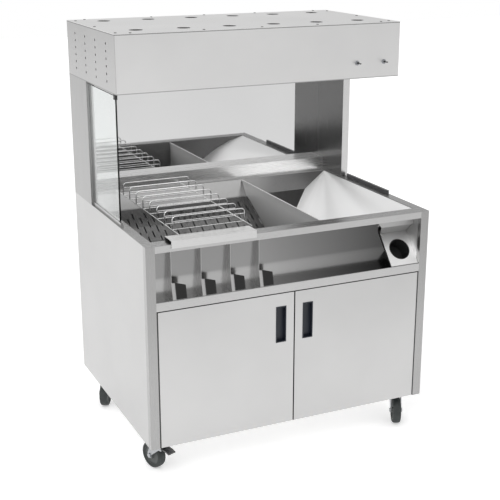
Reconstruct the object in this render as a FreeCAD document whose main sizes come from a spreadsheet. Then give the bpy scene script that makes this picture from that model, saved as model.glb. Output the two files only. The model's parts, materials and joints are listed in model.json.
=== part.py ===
import FreeCAD, Part
import math
import os
import re

import Sketcher
from FreeCAD import Placement, Rotation, Vector

# Heated serving and bagging station on castors. Millimetres, +Z up, front towards -Y,
# origin on the floor under the middle of the cabinet.
SIZES = {
    # Whole station
    "overall_width": 1100, "overall_depth": 820, "station_top": 1522, "worktop": 860,
    "cabinet_bottom": 125, "gauge": 1.5, "thin_gauge": 1.2,
    # Cabinet front
    "post_depth": 25, "rail_half": 517, "rail_bottom": 631, "rail_top": 661,
    "top_rail_bottom": 835,
    # Doors, flush handles and piano hinges
    "door_bottom": 127, "door_top": 628.5, "door_outer": 512, "door_gap": 1.5, "door_depth": 22,
    "door_lip": 15, "handle_middle": 53, "handle_width": 40, "handle_bottom": 444.5,
    "handle_top": 580, "handle_rim": 2, "handle_proud": 1.5, "handle_cup": 16,
    "hinge_axis": 514.5, "hinge_bottom": 128, "hinge_pitch": 25, "hinge_gap": 0.4,
    "knuckle_radius": 2.1, "pin_radius": 1.1, "pin_fit": 0.05, "leaf_start": 3, "leaf_depth": 20,
    "leaf_gauge": 0.9, "hinge_pairs": 10,
    # Worktop and basin
    "opening_half": 514, "opening_front": -358, "opening_back": 330, "basin_floor": 700,
    "screen_lift": 7, "divider_place": 130, "divider_gauge": 2, "divider_top": 857, "hem": 5,
    "slot_length": 30, "slot_width": 5, "slot_pitch": 25,
    # Front recess
    "tray_front": -408.5, "tray_back": -358, "tray_bend": 721, "tray_lean": -366, "tray_top": 834,
    "tray_end": 398, "gusset_top": 712, "notch_bottom": 715, "notch_knee": 792, "notch_left": 362,
    "fin_first": -455, "fin_pitch": 108, "fin_crest": 24, "stop_front": -405, "stop_lean": 14,
    "flange_width": 49.5, "flange_height": 57, "flange_drop": 11, "stop_inset": 12.5,
    "stop_bottom": 664, "stop_thick": 3,
    "holder_left": 402, "holder_right": 516.5, "holder_hole": 41, "cup_depth": 60,
    "cup_wall": 2, "cup_rim": 1,
    # Gantry
    "gantry_inner": 520, "gantry_front": 190, "upstand_front": 352, "upstand_back": 404,
    "upstand_top": 913, "mirror_front": 404, "hood_bottom": 1321, "hood_front": -163,
    "cover_bottom": 1519, "glass_thick": 6, "glass_left": -541, "glass_front": -120,
    "glass_bottom": 867, "glass_top": 1311,
    # Hood
    "vent_radius": 4.5, "vent_pitch": 25.4, "vent_bottom": 1355, "vent_first": -66,
    "vent_columns_pitch": 123.3, "light_radius": 24, "light_pitch": 174, "lamp_front": -48,
    "lamp_back": 317, "lamp_slot_half": 480, "lamp_slot_deep": 40, "screw_radius": 4.5,
    "toggle_left": 372, "toggle_right": 485, "toggle_height": 1378, "lever_length": 24,
    # Rack of wire loops
    "wire_radius": 1.9, "rack_left": -408, "rack_right": -139, "rack_first": -286,
    "rack_pitch": 75, "rack_top": 917, "rack_middle": 899, "rack_rail": 870,
    "rack_back": 341, "rack_foot": 863, "bracket_left": -460, "bracket_right": -150,
    "bracket_front": -413, "bracket_top": 872, "bracket_back": -350, "bracket_drop": 846,
    # Rest bar and handle of the right basin
    "bar_inner": 538, "bar_outer": 548, "bar_front": -140, "bar_back": 180, "bar_top": 874,
    # Castors
    "castor_side": 490, "castor_front": -331, "castor_back": 292, "wheel_radius": 50,
    "trail": 35, "axle_radius": 4, "axle_fit": 0.05, "kingpin_radius": 6, "leg_inner": 18,
    "leg_outer": 21, "fork_top": 108, "fork_plate": 4, "pedal_place": -22, "pedal_height": 96,
    "pedal_pin": 2, "pedal_half": 16, "pedal_tip": -65,
    "turn_front_left": 20, "turn_front_right": 155, "turn_rear_left": 150,
    "turn_rear_right": 215,
    # Power inlet
    "inlet_left": 380, "inlet_width": 48, "inlet_bottom": 180, "inlet_height": 28,
    "inlet_proud": 3, "inlet_deep": 20,
}

doc = FreeCAD.newDocument("ServingStation")
dims = doc.addObject("Spreadsheet::Sheet", "Dims")
for row, (alias, size) in enumerate(SIZES.items(), start=1):
    dims.set(f"A{row}", alias)
    dims.set(f"B{row}", str(size))
    dims.setAlias(f"B{row}", alias)
doc.recompute()

LEFT = "(-overall_width / 2)"
RIGHT = "(overall_width / 2)"
FRONT = "(-overall_depth / 2)"
BACK = "(overall_depth / 2)"
SIDES = {"left": -1, "right": 1}
PLANES = {"xy": "XY_Plane", "xz": "XZ_Plane", "yz": "YZ_Plane"}
PLANE_TURNS = {
    "xy": Rotation(),
    "xz": Rotation(Vector(1, 0, 0), 90),
    "yz": Rotation(Vector(1, 1, 1), 120),
}
ROD_TURNS = {
    "x": Rotation(Vector(0, 1, 0), 90),
    "y": Rotation(Vector(1, 0, 0), -90),
    "z": Rotation(),
}
nodes = []


# ---- Expressions, primitives and booleans ----

def link(text):
    """Expression text with each named size pointed at the sheet."""
    def target(word):
        return "Dims." + word.group() if word.group() in SIZES else word.group()
    return re.sub(r"[A-Za-z_]+", target, str(text))


def number(text):
    """Value of an expression in millimetres."""
    return float(dims.evalExpression(link(text)))


def node(item, name):
    """Marks a finished sub-part, whose label names its file."""
    item.Label = name
    nodes.append(item)
    return item


def move(item, x, y, z, turn=None):
    """Places an object at bound coordinates, with an optional fixed rotation."""
    item.Placement = Placement(Vector(), turn or Rotation())
    for axis, place in zip("xyz", (x, y, z)):
        item.setExpression(f"Placement.Base.{axis}", link(place))


def block(name, x, y, z):
    """Box between (low, high) pairs on each axis."""
    item = doc.addObject("Part::Box", name)
    for size, (low, high) in zip(("Length", "Width", "Height"), (x, y, z)):
        item.setExpression(size, link(f"({high}) - ({low})"))
    move(item, x[0], y[0], z[0])
    return item


def rod(name, axis, radius, span, place):
    """Cylinder along an axis over a (low, high) span; place holds the other two coordinates."""
    item = doc.addObject("Part::Cylinder", name)
    item.setExpression("Radius", link(radius))
    item.setExpression("Height", link(f"({span[1]}) - ({span[0]})"))
    where = dict(zip([other for other in "xyz" if other != axis], place))
    where[axis] = span[0]
    move(item, where["x"], where["y"], where["z"], ROD_TURNS[axis])
    return item


def cut(name, base, tool):
    item = doc.addObject("Part::Cut", name)
    item.Base = base
    item.Tool = tool
    return item


def common(name, base, tool):
    item = doc.addObject("Part::Common", name)
    item.Base = base
    item.Tool = tool
    return item


def fuse(name, *items):
    item = doc.addObject("Part::MultiFuse", name)
    item.Shapes = list(items)
    item.Refine = True
    return item


def group(name, *items):
    item = doc.addObject("Part::Compound", name)
    item.Links = list(items)
    return item


def hollow(name, x, y, z, wall, open_ends):
    """Box of sheet of the given wall, open at the faces named like 'y+ z-'."""
    inner = []
    for axis, (low, high) in zip("xyz", (x, y, z)):
        low_step = f"- ({wall})" if axis + "-" in open_ends else f"+ ({wall})"
        high_step = f"+ ({wall})" if axis + "+" in open_ends else f"- ({wall})"
        inner.append((f"({low}) {low_step}", f"({high}) {high_step}"))
    return cut(name, block(name + "_outside", x, y, z), block(name + "_inside", *inner))


def across(side, inner, outer):
    """(low, high) pair in X for a piece given on the right-hand side."""
    return (inner, outer) if side > 0 else (f"-({outer})", f"-({inner})")


# ---- Sketches and bodies ----

def draw_path(sketch, points, closed):
    """Straight outline through bound (x, y) points."""
    places = [(number(x), number(y)) for x, y in points]
    count = len(points)
    last = count if closed else count - 1
    for index in range(last):
        start = places[index]
        end = places[(index + 1) % count]
        line = Part.LineSegment(Vector(start[0], start[1], 0), Vector(end[0], end[1], 0))
        sketch.addGeometry(line, False)
    for index in range(last - 1):
        sketch.addConstraint(Sketcher.Constraint("Coincident", index, 2, index + 1, 1))
    if closed:
        sketch.addConstraint(Sketcher.Constraint("Coincident", last - 1, 2, 0, 1))
    for index in range(count):
        line, end = (index, 1) if index < last else (last - 1, 2)
        for kind, place, text in zip(("DistanceX", "DistanceY"), places[index], points[index]):
            datum = sketch.addConstraint(Sketcher.Constraint(kind, -1, 1, line, end, place))
            sketch.setExpression(f"Constraints[{datum}]", link(text))


def draw_circle(sketch, x, y, radius):
    circle = Part.Circle(Vector(number(x), number(y), 0), Vector(0, 0, 1), number(radius))
    line = sketch.addGeometry(circle, False)
    size = sketch.addConstraint(Sketcher.Constraint("Radius", line, number(radius)))
    sketch.setExpression(f"Constraints[{size}]", link(radius))
    for kind, text in zip(("DistanceX", "DistanceY"), (x, y)):
        datum = sketch.addConstraint(Sketcher.Constraint(kind, -1, 1, line, 3, number(text)))
        sketch.setExpression(f"Constraints[{datum}]", link(text))


def flat_sketch(body, plane, name, height="0"):
    """Sketch on one of the body's own origin planes, lifted along the plane's normal."""
    sketch = body.newObject("Sketcher::SketchObject", name)
    for feature in body.Origin.OriginFeatures:
        if feature.Role == PLANES[plane]:
            sketch.AttachmentSupport = [(feature, "")]
    sketch.MapMode = "FlatFace"
    sketch.setExpression("AttachmentOffset.Base.z", link(height))
    return sketch


def add_pad(body, sketch, length):
    feature = body.newObject("PartDesign::Pad", sketch.Name + "_pad")
    feature.Profile = sketch
    feature.setExpression("Length", link(length))
    sketch.Visibility = False
    body.Tip = feature
    return feature


def prism(name, plane, points, low, high):
    """Body with one padded outline, from low to high along the plane's axis."""
    body = doc.addObject("PartDesign::Body", name)
    start = f"-({high})" if plane == "xz" else low
    sketch = flat_sketch(body, plane, name + "_outline", start)
    draw_path(sketch, points, True)
    add_pad(body, sketch, f"({high}) - ({low})")
    return body


def bent_sheet(name, plane, points, wall, low, high):
    """Folded sheet: an open profile thickened to its right-hand side and drawn out."""
    sketch = doc.addObject("Sketcher::SketchObject", name + "_profile")
    start = high if plane == "xz" else low
    place = {"xy": ("0", "0", start), "xz": ("0", start, "0"), "yz": (start, "0", "0")}[plane]
    move(sketch, *place, PLANE_TURNS[plane])
    draw_path(sketch, points, False)
    strip = doc.addObject("Part::Offset2D", name + "_strip")
    strip.Source = sketch
    strip.Mode = 0
    strip.Join = 2
    strip.Fill = True
    strip.setExpression("Value", link(wall))
    item = doc.addObject("Part::Extrusion", name)
    item.Base = strip
    item.DirMode = "Normal"
    item.Solid = True
    item.setExpression("LengthFwd", link(f"({high}) - ({low})"))
    return item


# ---- Cabinet ----

def cabinet_shell():
    upright = ("cabinet_bottom", "worktop - gauge")
    for side, sign in SIDES.items():
        panel = block(f"{side}_side_panel", across(sign, f"{RIGHT} - gauge", RIGHT),
                      (f"{FRONT} + post_depth", BACK), upright)
        node(panel, f"{side}_side_panel")
        post = hollow(f"{side}_front_post", across(sign, "rail_half", RIGHT),
                      (FRONT, f"{FRONT} + post_depth"), upright, "gauge", "z- z+")
        node(post, f"{side}_front_post")
    inside = (f"{LEFT} + gauge", f"{RIGHT} - gauge")
    plate = block("back_plate", inside, (f"{BACK} - gauge", BACK), upright)
    inlet_hole = block("inlet_hole", ("inlet_left", "inlet_left + inlet_width"),
                       (f"{BACK} - inlet_deep", f"{BACK} + inlet_proud"),
                       ("inlet_bottom", "inlet_bottom + inlet_height"))
    node(cut("cabinet_back_panel", plate, inlet_hole), "cabinet_back_panel")
    floor = block("cabinet_floor", inside, (f"{FRONT} + post_depth", f"{BACK} - gauge"),
                  ("cabinet_bottom", "cabinet_bottom + gauge"))
    node(floor, "cabinet_floor")
    rails = {"lower_front_rail": ("rail_bottom", "rail_top"),
             "top_front_rail": ("top_rail_bottom", "worktop - gauge")}
    for name, span in rails.items():
        rail = hollow(name, ("-rail_half", "rail_half"), (FRONT, f"{FRONT} + post_depth"),
                      span, "gauge", "y+")
        node(rail, name)


def door(side, sign):
    """Folded pan with a return lip round its back and a flush pull let into its face."""
    inner_edge = "door_gap"
    x = across(sign, inner_edge, "door_outer")
    y = (FRONT, f"{FRONT} + door_depth")
    z = ("door_bottom", "door_top")
    outside = block(f"door_{side}_outside", x, y, z)
    pan = block(f"door_{side}_pan", across(sign, f"{inner_edge} + thin_gauge", "door_outer - thin_gauge"),
                (f"{FRONT} + thin_gauge", f"{FRONT} + door_depth - thin_gauge"),
                ("door_bottom + thin_gauge", "door_top - thin_gauge"))
    mouth = block(f"door_{side}_mouth", across(sign, f"{inner_edge} + door_lip", "door_outer - door_lip"),
                  (f"{FRONT} + handle_cup + thin_gauge", f"{FRONT} + 2 * door_depth"),
                  ("door_bottom + door_lip", "door_top - door_lip"))
    half = "(handle_width / 2 - handle_rim)"
    cup_x = across(sign, f"handle_middle - {half}", f"handle_middle + {half}")
    cup_z = ("handle_bottom + handle_rim", "handle_top - handle_rim")
    window = block(f"door_{side}_window", cup_x, (f"{FRONT} - 1", f"{FRONT} + 2 * thin_gauge"), cup_z)
    tools = fuse(f"door_{side}_tools", pan, mouth, window)
    node(cut(f"door_{side}", outside, tools), f"door_{side}")

    flange = block(f"handle_{side}_flange",
                   across(sign, "handle_middle - handle_width / 2", "handle_middle + handle_width / 2"),
                   (f"{FRONT} - handle_proud", FRONT), ("handle_bottom", "handle_top"))
    cup = block(f"handle_{side}_cup", cup_x, (FRONT, f"{FRONT} + handle_cup"), cup_z)
    wall = "gauge"
    cavity = block(f"handle_{side}_cavity",
                   across(sign, f"handle_middle - {half} + {wall}", f"handle_middle + {half} - {wall}"),
                   (f"{FRONT} - 2 * handle_proud", f"{FRONT} + handle_cup - {wall}"),
                   (f"{cup_z[0]} + {wall}", f"{cup_z[1]} - {wall}"))
    pull = cut(f"door_{side}_pull", fuse(f"handle_{side}_solid", flange, cup), cavity)
    node(pull, f"door_{side}_pull")


def hinge_leaf(side, sign, name, leaf_x, first_knuckle, has_pin):
    """One leaf of a piano hinge: a strip, ten rolled knuckles and either the pin or its bore."""
    body = doc.addObject("PartDesign::Body", name)
    axis_x = f"{sign} * hinge_axis"
    leaf_y = (f"{FRONT} + leaf_start", f"{FRONT} + leaf_start + leaf_depth")
    near, far = across(sign, *leaf_x)
    strip = flat_sketch(body, "xy", name + "_strip", "hinge_bottom")
    draw_path(strip, [(near, leaf_y[0]), (far, leaf_y[0]), (far, leaf_y[1]), (near, leaf_y[1])], True)
    add_pad(body, strip, "2 * hinge_pairs * hinge_pitch")
    knuckle_bottom = f"hinge_bottom + {first_knuckle} * hinge_pitch + hinge_gap / 2"
    knuckle = flat_sketch(body, "xy", name + "_knuckle", knuckle_bottom)
    draw_circle(knuckle, axis_x, FRONT, "knuckle_radius")
    knuckle_pad = add_pad(body, knuckle, "hinge_pitch - hinge_gap")
    reach = "leaf_start + leaf_gauge"
    bridge = flat_sketch(body, "xy", name + "_bridge", knuckle_bottom)
    draw_path(bridge, [(near, FRONT), (far, FRONT), (far, f"{FRONT} + {reach}"),
                       (near, f"{FRONT} + {reach}")], True)
    bridge_pad = add_pad(body, bridge, "hinge_pitch - hinge_gap")
    row = body.newObject("PartDesign::LinearPattern", name + "_row")
    row.Originals = [knuckle_pad, bridge_pad]
    row.Direction = (knuckle, ["N_Axis"])
    row.setExpression("Length", link("2 * hinge_pitch * (hinge_pairs - 1)"))
    row.setExpression("Occurrences", link("hinge_pairs"))
    body.Tip = row
    pin = flat_sketch(body, "xy", name + "_pin", "hinge_bottom")
    if has_pin:
        draw_circle(pin, axis_x, FRONT, "pin_radius")
        add_pad(body, pin, "2 * hinge_pairs * hinge_pitch")
    else:
        draw_circle(pin, axis_x, FRONT, "pin_radius + pin_fit")
        bore = body.newObject("PartDesign::Pocket", name + "_bore")
        bore.Profile = pin
        bore.Reversed = True
        bore.setExpression("Length", link("2 * hinge_pairs * hinge_pitch"))
        pin.Visibility = False
        body.Tip = bore
    return body


def doors():
    fixed_leaves = []
    for side, sign in SIDES.items():
        door(side, sign)
        fixed_leaves.append(hinge_leaf(side, sign, f"hinge_{side}_fixed_leaf",
                                       ("rail_half - leaf_gauge", "rail_half"), 0, True))
        moving_leaf = hinge_leaf(side, sign, f"hinge_{side}_door_leaf",
                                 ("door_outer", "door_outer + leaf_gauge"), 1, False)
        node(moving_leaf, f"hinge_{side}_door_leaf")
    node(group("hinge_fixed_leaves", *fixed_leaves), "hinge_fixed_leaves")


# ---- Worktop, basin, ramp and screen ----

# Inside of the basin in the Y-Z plane, from the back rim down to the floor and up at the front.
BASIN = [
    ("opening_back", "worktop - gauge"), ("285", "800"), ("180", "747"), ("109", "707"),
    ("95", "basin_floor"), ("-330", "basin_floor"), ("-348", "basin_floor + 15"),
    ("opening_front + 2", "worktop - gauge"),
]

# Edge of the folded ramp in (X, Y, Z): along the front of the basin, then down its left side.
RAMP_APEX = (518, 330, 860)
RAMP_EDGE = [
    (518, -358, 860), (450, -358, 842), (390, -358, 818), (340, -358, 790), (290, -358, 756),
    (230, -358, 710), (130, -358, 628), (130, -100, 645), (130, 260, 665),
]


def ramp_wedge(depth):
    """Flat facets that fan out from the apex, each drawn straight down by the depth."""
    apex = Vector(*RAMP_APEX)
    wedge = None
    for start, end in zip(RAMP_EDGE, RAMP_EDGE[1:]):
        corners = [apex, Vector(*start), Vector(*end), apex]
        facet = Part.Face(Part.makePolygon(corners)).extrude(Vector(0, 0, -depth))
        wedge = facet if wedge is None else wedge.fuse(facet)
    return wedge.removeSplitter()


def basin_space(name, low, high):
    """Solid filling the inside of the basin between two X planes."""
    return prism(name, "yz", BASIN, low, high)


def worktop():
    plate = block("worktop_plate", (LEFT, RIGHT), (FRONT, BACK), ("worktop - gauge", "worktop"))
    mouth = block("worktop_mouth", ("-opening_half", "opening_half"),
                  ("opening_front", "opening_back"), ("worktop - 2 * gauge", "worktop + gauge"))
    node(cut("worktop_frame", plate, mouth), "worktop_frame")

    under_ramp = doc.addObject("Part::Feature", "under_ramp")
    under_ramp.Shape = ramp_wedge(260)
    trough = bent_sheet("trough_shell", "yz", BASIN[::-1], "thin_gauge", "-opening_half", "opening_half")
    end = prism("trough_end", "yz", BASIN, "-opening_half - thin_gauge", "-opening_half")
    shell = fuse("trough_with_end", trough, end)
    node(cut("basin_trough", shell, under_ramp), "basin_trough")

    facets = doc.addObject("Part::Feature", "ramp_facets")
    facets.Shape = ramp_wedge(SIZES["gauge"])
    space = basin_space("ramp_space", "divider_place + 2 * hem", "opening_half")
    node(common("dump_ramp", facets, space), "dump_ramp")


def screen():
    """Slotted false bottom of the left compartment, lying just above the slope and the floor."""
    lift = "screen_lift"
    profile = [
        ("-322", f"basin_floor + {lift}"), ("92", f"basin_floor + {lift}"),
        ("106", f"707 + {lift}"), ("176.5", f"747 + {lift}"), ("268", f"793.2 + {lift}"),
    ]
    plate = bent_sheet("screen_plate", "yz", profile, "thin_gauge",
                       "-opening_half", "divider_place - divider_gauge")
    slots = []
    columns = 25
    rows = 12
    row_pitch = 48
    for column in range(columns):
        shift = row_pitch / 2 if column % 2 else 0
        for row in range(rows):
            x = f"-opening_half + 1.5 * slot_pitch + {column} * slot_pitch"
            y = 232 - row * row_pitch - shift
            if y < -300:
                continue
            slots.append(block(f"slot_{column}_{row}", (f"{x} - slot_width / 2", f"{x} + slot_width / 2"),
                               (f"{y} - slot_length / 2", f"{y} + slot_length / 2"),
                               ("basin_floor + 2", "worktop")))
    node(cut("slotted_screen", plate, group("screen_slots", *slots)), "slotted_screen")


def divider():
    """Lift-out wall between the compartments, with a folded hem along its top edge."""
    edge = [("324", "divider_top"), ("281", "801.5"), ("177.5", "752"), ("106", "711.5"),
            ("93", "basin_floor + 4"), ("-327", "basin_floor + 4"), ("-344", "basin_floor + 18"),
            ("opening_front + 6", "divider_top")]
    half = "divider_gauge / 2"
    wall = prism("divider_wall", "yz", edge, f"divider_place - {half}", f"divider_place + {half}")
    hem = block("divider_hem", ("divider_place - hem / 2", "divider_place + hem / 2"),
                ("opening_front + 6", "322"), ("divider_top - hem", "divider_top"))
    node(fuse("basin_divider", wall, hem), "basin_divider")


def rest_bar():
    middle = "(bar_inner + bar_outer) / 2"
    radius = "(bar_outer - bar_inner) / 2"
    straight = block("bar_straight", ("bar_inner", "bar_outer"),
                     (f"bar_front + {radius}", f"bar_back - {radius}"), ("worktop", "bar_top"))
    ends = [rod(f"bar_end_{index}", "z", radius, ("worktop", "bar_top"), (middle, place))
            for index, place in enumerate((f"bar_front + {radius}", f"bar_back - {radius}"))]
    node(fuse("basket_rest_bar", straight, *ends), "basket_rest_bar")


# ---- Front recess with the carton pockets and the shaker holder ----

TRAY_FLOOR = "(rail_top + thin_gauge)"
TRAY = [("tray_front", TRAY_FLOOR), ("tray_back", TRAY_FLOOR), ("tray_back", "tray_bend"),
        ("tray_lean", "tray_top")]


def leaning_plate(name, front, thickness, bottom, low, high):
    """Upright plate that leans back from the tray floor, with its top edge falling to the right."""
    slope = "stop_lean / flange_height"
    foot = f"({front} + ({bottom} - {TRAY_FLOOR}) * {slope})"
    head = f"({front} + stop_lean)"
    top = f"({TRAY_FLOOR} + flange_height)"
    plate = prism(name + "_plate", "yz",
                  [(foot, bottom), (f"{foot} + {thickness}", bottom), (f"{head} + {thickness}", top),
                   (head, top)],
                  low, high)
    corner = prism(name + "_corner", "xz",
                   [(low, top), (high, f"{top} - flange_drop"), (f"({high}) + 1", f"{top} - flange_drop"),
                    (f"({high}) + 1", f"{top} + 1"), (low, f"{top} + 1")],
                   f"{front} - 1", f"{head} + {thickness} + 1")
    return cut(name, plate, corner)


def recess():
    tray = bent_sheet("tray_sheet", "yz", TRAY, "thin_gauge", "-rail_half", "tray_end")
    notch = prism("tray_notch", "xz",
                  [("tray_end - 2", "notch_bottom"), ("tray_end + 2", "notch_bottom"),
                   ("tray_end + 2", "tray_top + 1"), ("notch_left", "tray_top + 1"),
                   ("notch_left", "notch_knee")],
                  "tray_lean - 2 * thin_gauge", "tray_back + 2 * thin_gauge")
    gusset = prism("tray_gusset", "yz",
                   [("stop_front", TRAY_FLOOR), ("tray_back", TRAY_FLOOR), ("tray_back", "gusset_top")],
                   "tray_end", "tray_end + thin_gauge")
    node(fuse("recess_tray", cut("tray_wall", tray, notch), gusset), "recess_tray")

    flange_top = f"({TRAY_FLOOR} + flange_height)"
    stops = []
    for index in range(4):
        place = f"(fin_first + {index} * fin_pitch)"
        side = [("stop_front", TRAY_FLOOR), ("tray_back", TRAY_FLOOR), ("tray_back", "tray_bend"),
                ("tray_lean", "tray_top - 1"), ("tray_lean - fin_crest", "tray_top - 1"),
                ("stop_front + stop_lean", flange_top)]
        fin = prism(f"fin_{index}", "yz", side, f"{place} - thin_gauge / 2", f"{place} + thin_gauge / 2")
        flange = leaning_plate(f"fin_flange_{index}", "stop_front", "thin_gauge", TRAY_FLOOR, place,
                               f"{place} + flange_width")
        node(fuse(f"carton_divider_{index + 1}", fin, flange), f"carton_divider_{index + 1}")
        stops.append(leaning_plate(f"carton_stop_{index}", "stop_front - stop_thick", "stop_thick",
                                   "stop_bottom", f"{place} + stop_inset", f"{place} + flange_width"))
    node(group("carton_stops", *stops), "carton_stops")


def shaker():
    """Sloping plate with a hole, and the cup that hangs under it."""
    foot = (-403.5, 662.2)
    fold = (-315, 765)
    profile = [foot, fold, (-340, 792)]
    plate = bent_sheet("holder_plate", "yz", profile, "gauge", "holder_left", "holder_right")
    middle_x = (number("holder_left") + number("holder_right")) / 2
    along = Vector(0, fold[0] - foot[0], fold[1] - foot[1]).normalize()
    down = Vector(0, along.z, -along.y)
    centre = Vector(middle_x, *foot) + along * 63.5
    turn = Rotation(Vector(0, 0, 1), down)

    def slanted(name, radius, low, high):
        item = doc.addObject("Part::Cylinder", name)
        item.setExpression("Radius", link(radius))
        item.setExpression("Height", link(f"({high}) - ({low})"))
        item.Placement = Placement(centre + down * number(low), turn)
        return item

    hole = slanted("holder_hole_tool", "holder_hole", "-20", "20")
    node(cut("shaker_holder", plate, hole), "shaker_holder")
    barrel = slanted("cup_barrel", "holder_hole", "-cup_rim", "cup_depth")
    inside = slanted("cup_inside", "holder_hole - cup_wall", "-2 * cup_rim", "cup_depth - cup_wall")
    node(cut("shaker_cup", barrel, inside), "shaker_cup")


# ---- Gantry: posts, upstand, mirror and side glass ----

def gantry():
    span = ("worktop", "hood_bottom")
    for side, sign in SIDES.items():
        post = hollow(f"gantry_post_{side}", across(sign, "gantry_inner", RIGHT),
                      ("gantry_front", BACK), span, "gauge", "z- z+")
        node(post, f"gantry_post_{side}")
    width = ("-gantry_inner", "gantry_inner")
    upstand = hollow("rear_upstand", width, ("upstand_front", "upstand_back"),
                     ("worktop", "upstand_top"), "gauge", "z-")
    node(upstand, "rear_upstand")
    node(block("mirror_panel", width, ("mirror_front", f"{BACK} - gauge"),
               ("upstand_top", "hood_bottom")), "mirror_panel")
    node(block("gantry_back_panel", width, (f"{BACK} - gauge", BACK), span), "gantry_back_panel")


def side_glass():
    right = "glass_left + glass_thick"
    pane = block("glass_pane", ("glass_left", right), ("glass_front", "gantry_front"),
                 ("glass_bottom", "glass_top"))
    node(pane, "glass_pane")
    lip = 2
    channel = block("channel_solid", (f"glass_left - {lip}", f"{right} + {lip}"),
                    ("glass_front - 16", "gantry_front"), ("worktop", "worktop + 12"))
    groove = block("channel_groove", ("glass_left", right), ("glass_front", "gantry_front + 1"),
                   ("glass_bottom", "worktop + 13"))
    node(cut("glass_channel", channel, groove), "glass_channel")
    clip = block("clip_solid", (f"glass_left - {lip}", f"{right} + {lip}"),
                 ("glass_front - 2", "glass_front + 12"), ("glass_top - 12", "hood_bottom"))
    slit = block("clip_slit", ("glass_left", right), ("glass_front", "glass_front + 13"),
                 ("glass_top - 13", "glass_top"))
    node(cut("glass_clip", clip, slit), "glass_clip")


# ---- Hood ----

def hood():
    shell = hollow("hood_walls", (LEFT, RIGHT), ("hood_front", BACK), ("hood_bottom", "cover_bottom"),
                   "gauge", "z- z+")
    tools = []
    for column in range(4):
        for row in range(6):
            place = (f"vent_first + {column} * vent_columns_pitch", f"vent_bottom + {row} * vent_pitch")
            tools.append(rod(f"vent_{column}_{row}", "x", "vent_radius",
                             (f"{LEFT} - 1", f"{RIGHT} + 1"), place))
    for side in SIDES:
        tools.append(rod(f"toggle_hole_{side}", "y", "4.2", ("hood_front - 1", "hood_front + 3"),
                         (f"toggle_{side}", "toggle_height")))
    node(cut("hood_shell", shell, group("hood_holes", *tools)), "hood_shell")

    cover = block("cover_plate", (LEFT, RIGHT), ("hood_front", BACK),
                  ("cover_bottom", "cover_bottom + gauge"))
    holes = []
    for column in range(6):
        for row in ("lamp_front", "lamp_back"):
            holes.append(rod(f"cover_hole_{column}_{row}", "z", "light_radius",
                             ("cover_bottom - 1", "station_top"),
                             (f"({column} - 2.5) * light_pitch", row)))
    node(cut("hood_top_cover", cover, group("cover_holes", *holes)), "hood_top_cover")

    heads = []
    places = [(x, y) for y in (-135, 398) for x in (-485, -220, 0, 220, 485)]
    places += [(x, y) for x in (-530, 530) for y in (-115, 120, 360)]
    for index, place in enumerate(places):
        heads.append(rod(f"cover_screw_{index}", "z", "screw_radius",
                         ("cover_bottom + gauge", "station_top"), place))
    node(group("hood_screws", *heads), "hood_screws")

    tray = block("underside_plate", (f"{LEFT} + gauge", f"{RIGHT} - gauge"),
                 ("hood_front + gauge", f"{BACK} - gauge"), ("hood_bottom", "hood_bottom + thin_gauge"))
    mouths = [block(f"lamp_mouth_{row}", ("-lamp_slot_half", "lamp_slot_half"),
                    (f"{row} - lamp_slot_deep", f"{row} + lamp_slot_deep"),
                    ("hood_bottom - 1", "hood_bottom + 3")) for row in ("lamp_front", "lamp_back")]
    node(cut("hood_underside", tray, group("lamp_mouths", *mouths)), "hood_underside")


def lamps():
    reflectors = []
    tubes = []
    base = "hood_bottom + thin_gauge"
    for row in ("lamp_front", "lamp_back"):
        profile = [(f"{row} - lamp_slot_deep", base), (f"{row} - 24", f"{base} + 48"),
                   (f"{row} + 24", f"{base} + 48"), (f"{row} + lamp_slot_deep", base)]
        reflectors.append(bent_sheet(f"reflector_{row}", "yz", profile[::-1], "thin_gauge",
                                     "-lamp_slot_half", "lamp_slot_half"))
        tube = rod(f"lamp_tube_{row}", "x", "6", ("-lamp_slot_half + 30", "lamp_slot_half - 30"),
                   (row, f"{base} + 22"))
        caps = [block(f"lamp_cap_{row}_{side}", across(sign, "lamp_slot_half - 40", "lamp_slot_half - 12"),
                      (f"{row} - 10", f"{row} + 10"), (f"{base} + 12", f"{base} + 48"))
                for side, sign in SIDES.items()]
        tubes.append(fuse(f"lamp_{row}", tube, *caps))
    node(group("lamp_reflectors", *reflectors), "lamp_reflectors")
    node(group("heat_lamps", *tubes), "heat_lamps")


def toggles():
    """Two toggle switches: a threaded bush with its nut on the hood, and a lever that tips."""
    bushes = []
    for side in SIDES:
        centre = (f"toggle_{side}", "toggle_height")
        sleeve = rod(f"bush_sleeve_{side}", "y", "6", ("hood_front - 7", "hood_front"), centre)
        nut = rod(f"bush_nut_{side}", "y", "9", ("hood_front - 2.5", "hood_front"), centre)
        bore = rod(f"bush_bore_{side}", "y", "4.2", ("hood_front - 8", "hood_front + 1"), centre)
        bushes.append(cut(f"bush_{side}", fuse(f"bush_solid_{side}", sleeve, nut), bore))
        stem = doc.addObject("Part::Cone", f"lever_stem_{side}")
        stem.Radius1 = 1.8
        stem.Radius2 = 2.8
        stem.setExpression("Height", link("lever_length"))
        move(stem, f"toggle_{side}", "hood_front - 1", "toggle_height", Rotation(Vector(1, 0, 0), 90))
        balls = []
        for end, (radius, place) in {"root": ("3", "hood_front - 1"),
                                     "tip": ("2.8", "hood_front - 1 - lever_length")}.items():
            ball = doc.addObject("Part::Sphere", f"lever_{end}_{side}")
            ball.setExpression("Radius", link(radius))
            move(ball, f"toggle_{side}", place, "toggle_height")
            balls.append(ball)
        node(fuse(f"toggle_lever_{side}", stem, *balls), f"toggle_lever_{side}")
    node(group("toggle_bushes", *bushes), "toggle_bushes")


# ---- Lift-off wire rack ----

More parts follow.
